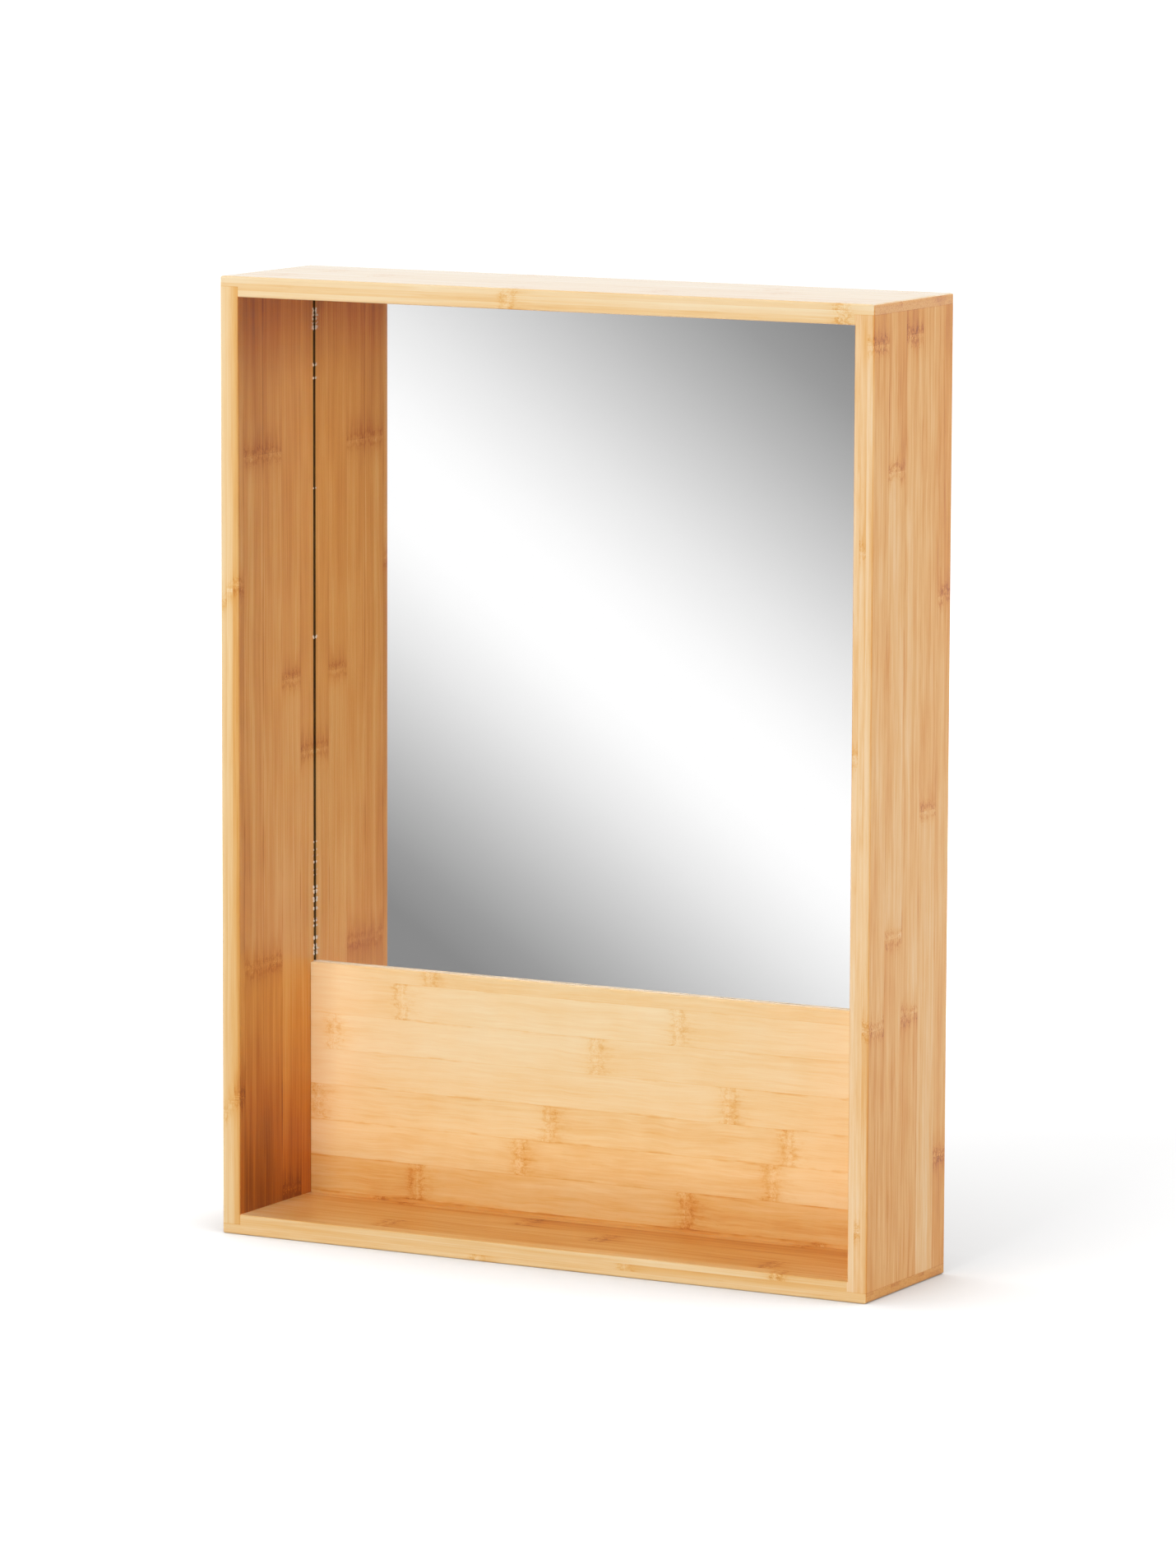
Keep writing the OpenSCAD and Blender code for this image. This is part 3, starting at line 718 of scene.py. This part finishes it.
def steel(name, colour, roughness, drawn_axis):
    """Sheet or wire steel with fine lines along one axis and a faint mottle of zinc."""
    material, tree = new_material(name)
    coordinates = add(tree, "ShaderNodeTexCoord")
    line_w, line_long = DRAWN_LINE_MM
    stretch = [1 / (line_w * MM)] * 3
    stretch[drawn_axis] = 1 / (line_long * MM)
    lines_at = add(tree, "ShaderNodeMapping", inputs={
        "Vector": coordinates.outputs["Object"], "Scale": stretch})
    lines = add(tree, "ShaderNodeTexNoise", inputs={
        "Vector": lines_at.outputs[0], "Scale": 1.0, "Detail": 3.0})
    spangle = pattern(tree, "ShaderNodeTexNoise", SPANGLE_MM, {"Detail": 2.0})
    rough = add(tree, "ShaderNodeMapRange", inputs={
        "Value": spangle.outputs[0], "From Min": NOISE_SPAN[0], "From Max": NOISE_SPAN[1],
        "To Min": roughness + SMOOTHER, "To Max": roughness + ROUGHER})
    bump = add(tree, "ShaderNodeBump", inputs={
        "Strength": 0.4, "Distance": LINE_DEEP * MM, "Height": lines.outputs[0]})
    metal = add(tree, "ShaderNodeBsdfPrincipled", inputs={
        "Base Color": rgb(colour), "Metallic": 1.0, "Roughness": rough.outputs[0],
        "Normal": bump.outputs[0]})
    finish_material(tree, metal.outputs[0])
    return material


zinc_plate = steel("zinc plated sheet steel", "C3C7CA", 0.34, Z)
zinc_screw = steel("zinc plated screw", "CDD0D2", 0.28, Y)
bright_pin = steel("bright drawn wire", "A9ABAD", 0.35, Z)
stamped_point = steel("stamped spring steel", "9FA2A5", 0.38, X)
FITTINGS = {"keyhole_plate_left": zinc_plate, "keyhole_plate_right": zinc_plate,
            "keyhole_screws": zinc_screw, "lower_rail_screws": zinc_screw,
            "corner_pins": bright_pin, "rail_pins": bright_pin, "framing_points": stamped_point}
for fitting, metal in FITTINGS.items():
    dress(fitting, metal)
print("fittings dressed:", len(FITTINGS))

# %% [markdown]
# ## Dried glue and splinters
#
# Where the rebate was cut and the mirror glued in, a few pale crumbs and splinters stay on the
# arris beside the glass, and along the top of the panel a thin bead of glue meets the glass.
# They are bigger than a bump can show, and the mirror doubles them, so each is a small mesh. A
# crumb starts as a ball that is flattened and made uneven, a lump of the bead is the same ball
# drawn out along the panel, and a splinter is a thin cone that leans out of the grain. The places
# come from a seeded draw round the few spots where the photograph shows them.

# %% Measures of the glue and the splinters
# The radius of a crumb in mm, and how flat, high and uneven it is as a share of that.
CRUMB_MM = (0.3, 0.8)
CRUMB_FLAT = 0.6
CRUMB_HIGH = (0.8, 1.6)
CRUMB_UNEVEN = 0.16
# The length of a splinter, its radius at either end and its unevenness in mm, and its lean.
SPLINTER_MM = (1.2, 2.6)
SPLINTER_R = 0.16
SPLINTER_TIP_R = 0.03
SPLINTER_UNEVEN = 0.05
SPLINTER_LEAN = (20, 60)
# How far the glue starts before the glass, and how far each thing sits off the board and forward.
GLUE_BEFORE_GLASS = 0.25
CRUMB_OFF = 0.2
CRUMB_FORWARD = (-0.1, 0.6)
SPLINTER_OFF = 0.3
SPLINTER_FORWARD = (0.5, 1.5)
ARRIS_Y = GLASS_LOW.y - GLUE_BEFORE_GLASS
# Lowest and highest place up the left board, and how many crumbs and splinters lie between.
CRUMBED = ((522, 536, 18, 9), (470, 522, 3, 0), (330, 470, 3, 0), (154, 225, 22, 3), (152, 158, 5, 4))
# The bead: how many lumps it has, how thick they are, and how much longer than thick.
BEAD_N = 110
BEAD_MM = (0.28, 0.42)
BEAD_STRETCH = 12.0
draw = random.Random(7)
print("crumbs:", sum(row[2] for row in CRUMBED), "splinters:", sum(row[3] for row in CRUMBED))


# %% One crumb and one splinter
def jitter(piece, amount):
    """Moves every point of a small mesh by up to amount mm, so that it isn't a plain primitive."""
    for vertex in piece.data.vertices:
        vertex.co += Vector([draw.uniform(-amount, amount) * MM for _ in range(3)])


def add_crumb(place, size, long, high):
    """An uneven ball, half sunk into the bamboo, long from left to right and high up and down."""
    bpy.ops.object.select_all(action="DESELECT")
    bpy.ops.mesh.primitive_ico_sphere_add(subdivisions=2, radius=size * MM)
    bpy.ops.transform.resize(value=(long, 1.0, high))
    bpy.ops.transform.translate(value=Vector(place) * MM)
    bpy.ops.object.transform_apply(location=True, rotation=True, scale=True)
    jitter(bpy.context.object, CRUMB_UNEVEN * size)
    return bpy.context.object


def add_splinter(place, length):
    """A thin cone on the arris, tip up, that leans to the left or to the right."""
    bpy.ops.object.select_all(action="DESELECT")
    bpy.ops.mesh.primitive_cone_add(
        vertices=7, radius1=SPLINTER_R * MM, radius2=SPLINTER_TIP_R * MM, depth=length * MM)
    tilt = math.radians(draw.uniform(*SPLINTER_LEAN)) * draw.choice((-1, 1))
    bpy.ops.transform.rotate(value=tilt, orient_axis="Y", center_override=(0, 0, 0))
    bpy.ops.transform.translate(value=Vector(place) * MM)
    bpy.ops.object.transform_apply(location=True, rotation=True, scale=True)
    jitter(bpy.context.object, SPLINTER_UNEVEN)
    return bpy.context.object


print("a splinter leans by", SPLINTER_LEAN, "degrees")

# %% Crumbs, splinters and the bead
crumbs = []
for low, high, crumb_n, splinter_n in CRUMBED:
    for _ in range(crumb_n):
        place = (CRUMB_OFF - NICHE_HALF, ARRIS_Y - draw.uniform(*CRUMB_FORWARD), draw.uniform(low, high))
        crumbs.append(add_crumb(place, draw.uniform(*CRUMB_MM), CRUMB_FLAT, draw.uniform(*CRUMB_HIGH)))
    for _ in range(splinter_n):
        place = (SPLINTER_OFF - NICHE_HALF, ARRIS_Y - draw.uniform(*SPLINTER_FORWARD),
                 draw.uniform(low, high))
        crumbs.append(add_splinter(place, draw.uniform(*SPLINTER_MM)))
for number in range(BEAD_N):
    along = -NICHE_HALF + (number + 0.5) * 2 * NICHE_HALF / BEAD_N
    crumbs.append(add_crumb((along, ARRIS_Y, PANEL_HIGH.z), draw.uniform(*BEAD_MM), BEAD_STRETCH, 1.0))
bpy.ops.object.select_all(action="DESELECT")
for crumb in crumbs:
    crumb.select_set(True)
bpy.context.view_layer.objects.active = crumbs[0]
bpy.ops.object.join()
glue_crumbs = bpy.context.object
glue_crumbs.name = glue_crumbs.data.name = "glue_crumbs"
print("glue crumbs:", len(crumbs), "pieces,", len(glue_crumbs.data.polygons), "faces")

# %% Dried glue
# Dried glue and raw splinters are both pale, and a little uneven in tone from spot to spot.
GLUE_SPOT_MM = 0.5
GLUE_COLOURS = ((0.0, "E9CFA8"), (1.0, "FBF3E6"))
dried_glue, tree = new_material("dried wood glue, pale")
spots = pattern(tree, "ShaderNodeTexNoise", GLUE_SPOT_MM)
pale = add(tree, "ShaderNodeValToRGB", inputs={0: spots.outputs[0]})
set_stops(pale, GLUE_COLOURS)
crumb_surface = add(tree, "ShaderNodeBsdfPrincipled", inputs={
    "Base Color": pale.outputs[0], "Roughness": 0.5})
finish_material(tree, crumb_surface.outputs[0])
glue_crumbs.data.materials.append(dried_glue)
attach(glue_crumbs, "root")
print("dressed:", glue_crumbs.name)

# %% [markdown]
# ## Camera
#
# The photograph was taken from the right and a little above, with a long lens: the edges of
# the box hardly converge. The numbers come from solving for the camera that puts the corners of
# the box where the photograph has them.

# %% Camera
CAMERA_AT_MM = (2128.1, -3905.7, 889.7)
CAMERA_TURN = 28.53
CAMERA_DOWN = 7.888
CAMERA_ROLL = 0.202
LENS_MM = 180.0
SENSOR_MM = 36.0
camera_data = bpy.data.cameras.new("camera")
camera_data.lens = LENS_MM
camera_data.sensor_width = SENSOR_MM
camera_data.clip_end = 200.0
camera = bpy.data.objects.new("camera", camera_data)
bpy.context.scene.collection.objects.link(camera)
camera.location = Vector(CAMERA_AT_MM) * MM
aim = Euler((math.radians(90 - CAMERA_DOWN), 0.0, math.radians(CAMERA_TURN))).to_matrix()
camera.rotation_euler = (aim @ Matrix.Rotation(math.radians(CAMERA_ROLL), 3, "Z")).to_euler()
bpy.context.scene.camera = camera
print("camera at", [round(c, 3) for c in camera.location])

# %% [markdown]
# ## Floor, light and what the mirror sees
#
# The box stands on a pale floor that runs into white. The floor is a real surface, so it keeps
# the soft shadow of the box. It adds a white of its own, which lights nothing: least of it behind
# the box on the right, where the photograph has its shadow, as a painted shadow, and less where
# the boards close the floor in, which ambient occlusion finds once close by and once at arm's
# length, as a painted contact shadow.
#
# The large key light stands before the box, a little to the left. A weaker lamp overhead lights
# the top board, one on the right lights the right board, and a weak one on the left keeps the
# left board from going dull. The world fills in from all sides.
#
# A mirror shows what is in front of it. In the photograph that is a sheet that runs from grey
# through a white diagonal band to grey, so a large card with that gradient stands before the
# box, and only reflections see it.

# %% World
FILL = 0.30


def plainly_seen(tree):
    """1 where the picture shows the background, straight or in the mirror, 0 for light on a board."""
    path = add(tree, "ShaderNodeLightPath").outputs
    seen = maths(tree, "MAXIMUM", maths(tree, "MAXIMUM", path["Is Camera Ray"], path["Is Glossy Ray"]),
                 path["Is Transmission Ray"])
    return maths(tree, "MULTIPLY", seen, maths(tree, "LESS_THAN", path["Diffuse Depth"], 0.5))


world = bpy.data.worlds.new("studio")
bpy.context.scene.world = world
world.use_nodes = True
tree = world.node_tree
tree.nodes.clear()
strength = add(tree, "ShaderNodeMapRange", inputs={
    "Value": plainly_seen(tree), "To Min": FILL, "To Max": 1.0})
sky = add(tree, "ShaderNodeBackground", inputs={
    "Color": rgb("FFFFFF"), "Strength": strength.outputs[0]})
add(tree, "ShaderNodeOutputWorld", inputs={"Surface": sky.outputs[0]})
print("the world lights the boards at", FILL)

# %% Floor
FLOOR_SIZE = 60.0
# The white that the floor adds: least round this place behind the box, as a painted shadow, and all of
# it further out.
SHADOW_AT = (0.2, 0.3, 0.0)
WHITE_IN_SHADOW = 0.62
WHITE_FROM = 0.15
ALL_WHITE_AT = 0.7
# How far the floor looks round for boards that close it in, and how much of its white they take, as a
# painted contact shadow.
CLOSED_IN = ((0.06, 0.5), (0.4, 1.0))
bpy.ops.object.select_all(action="DESELECT")
bpy.ops.mesh.primitive_plane_add(size=FLOOR_SIZE)
floor = bpy.context.object
floor.name = "floor"
floor_paint, tree = new_material("white studio floor")
coordinates = add(tree, "ShaderNodeTexCoord")
out_there = add(tree, "ShaderNodeVectorMath", {"operation": "DISTANCE"},
                {0: coordinates.outputs["Object"], 1: SHADOW_AT})
own_white = add(tree, "ShaderNodeMapRange", {"interpolation_type": "SMOOTHSTEP"},
                {"Value": out_there.outputs["Value"], "From Min": WHITE_FROM, "From Max": ALL_WHITE_AT,
                 "To Min": WHITE_IN_SHADOW, "To Max": 1.0})
own = maths(tree, "MULTIPLY", plainly_seen(tree), own_white.outputs[0])
for reach, share in CLOSED_IN:
    open_air = add(tree, "ShaderNodeAmbientOcclusion", inputs={"Distance": reach}).outputs["AO"]
    own = maths(tree, "MULTIPLY", own, maths(tree, "MULTIPLY_ADD", open_air, share, 1 - share))
matt = add(tree, "ShaderNodeBsdfDiffuse", inputs={"Color": rgb("BEBEBE")})
glow = add(tree, "ShaderNodeEmission", inputs={"Color": rgb("FFFFFF"), "Strength": own})
total = add(tree, "ShaderNodeAddShader", inputs={0: matt.outputs[0], 1: glow.outputs[0]})
finish_material(tree, total.outputs[0])
floor.data.materials.append(floor_paint)
print("the floor is all white from", ALL_WHITE_AT, "m on")

# %% Lights
# Name, place and side in metres, and power in watts.
LAMPS = (("key", (-0.22, -3.5, 1.6), 1.8, 89.0),
         ("overhead", (0.1, 0.5, 3.0), 1.6, 20.0),
         ("side light", (3.2, 0.9, 1.2), 1.8, 54.0),
         ("left fill", (-3.0, 0.1, 1.3), 1.6, 20.0))
BOX_MIDDLE = Vector((0.0, 0.0, TOP_HIGH.z / 2)) * MM


def softbox(name, place, size, power):
    """A square area light that looks at the middle of the box."""
    light = bpy.data.lights.new(name, "AREA")
    light.shape = "SQUARE"
    light.size = size
    light.energy = power
    lamp = bpy.data.objects.new(name, light)
    bpy.context.scene.collection.objects.link(lamp)
    lamp.location = place
    lamp.rotation_euler = (BOX_MIDDLE - Vector(place)).to_track_quat("-Z", "Y").to_euler()


for lamp_row in LAMPS:
    softbox(*lamp_row)
print("lamps:", len(LAMPS), "with", sum(row[3] for row in LAMPS), "watts")

# %% The card that the mirror sees
CARD_Y = -0.70
CARD_W = 6.0
CARD_H = 2.4
bpy.ops.object.select_all(action="DESELECT")
bpy.ops.mesh.primitive_plane_add(size=1.0)
card = bpy.context.object
card.name = "reflection_card"
upright = Matrix.Rotation(math.radians(90), 4, "X")
card.data.transform(Matrix.Translation((0.0, CARD_Y, CARD_H / 2))
                    @ upright @ Matrix.Diagonal((CARD_W, CARD_H, 1.0, 1.0)))
card.visible_camera = False
card.visible_diffuse = False
card.visible_shadow = False
print("the card stands", -CARD_Y, "m before the middle of the box")

# %% The gradient on the card
# The middle of the white band passes through one place, level and height in metres, at a slope.
# The greys run with the distance from it, straight up the card, and a little faster below it.
BAND_SLOPE = -0.66
BAND_AT = (-0.567, 0.350)
FALL_BELOW = 1.18
GREYS = ((0.0, "FFFFFF"), (0.03, "FFFFFF"), (0.06, "FAFAFA"), (0.12, "E9E9E9"), (0.18, "D2D2D2"),
         (0.24, "B8B8B8"), (0.30, "9C9C9C"), (0.35, "8A8A8A"), (0.55, "8A8A8A"), (1.0, "D8D8D8"))
card_paint, tree = new_material("card from grey through white to grey")
coordinates = add(tree, "ShaderNodeTexCoord")
on_card = add(tree, "ShaderNodeSeparateXYZ", inputs={0: coordinates.outputs["Object"]}).outputs
slant = maths(tree, "MULTIPLY_ADD", on_card[X], -BAND_SLOPE, BAND_SLOPE * BAND_AT[0] - BAND_AT[1])
height = maths(tree, "ADD", on_card[Z], slant)
away = maths(tree, "MAXIMUM", height, maths(tree, "MULTIPLY", height, -FALL_BELOW))
greys = add(tree, "ShaderNodeValToRGB", inputs={0: away})
set_stops(greys, GREYS)

# Light that falls on the boards by way of the mirror comes from a lamp, which is brighter than
# white: for rays that a board has scattered, the lower half of the card is that bright, and the
# upper half is dark.
CARD_GLOW = 1.06
LAMP_GLOW = 12.0
LAMP_TOP = (0.9, 1.5)
path = add(tree, "ShaderNodeLightPath")
scattered = maths(tree, "GREATER_THAN", path.outputs["Diffuse Depth"], 0.5)
lamp_height = fade(tree, on_card[Z], *LAMP_TOP, LAMP_GLOW - CARD_GLOW, -CARD_GLOW)
strength = maths(tree, "MULTIPLY_ADD", scattered, lamp_height, CARD_GLOW)
glow = add(tree, "ShaderNodeEmission", inputs={"Color": greys.outputs[0], "Strength": strength})
finish_material(tree, glow.outputs[0])
card.data.materials.append(card_paint)
print("the grey deepens until", GREYS[7][0], "m above the middle of the band")

# %% [markdown]
# ## Finish
#
# The Standard view shows each colour as it was written, with no film look over it.

# %% Finish
bpy.context.scene.view_settings.view_transform = "Standard"
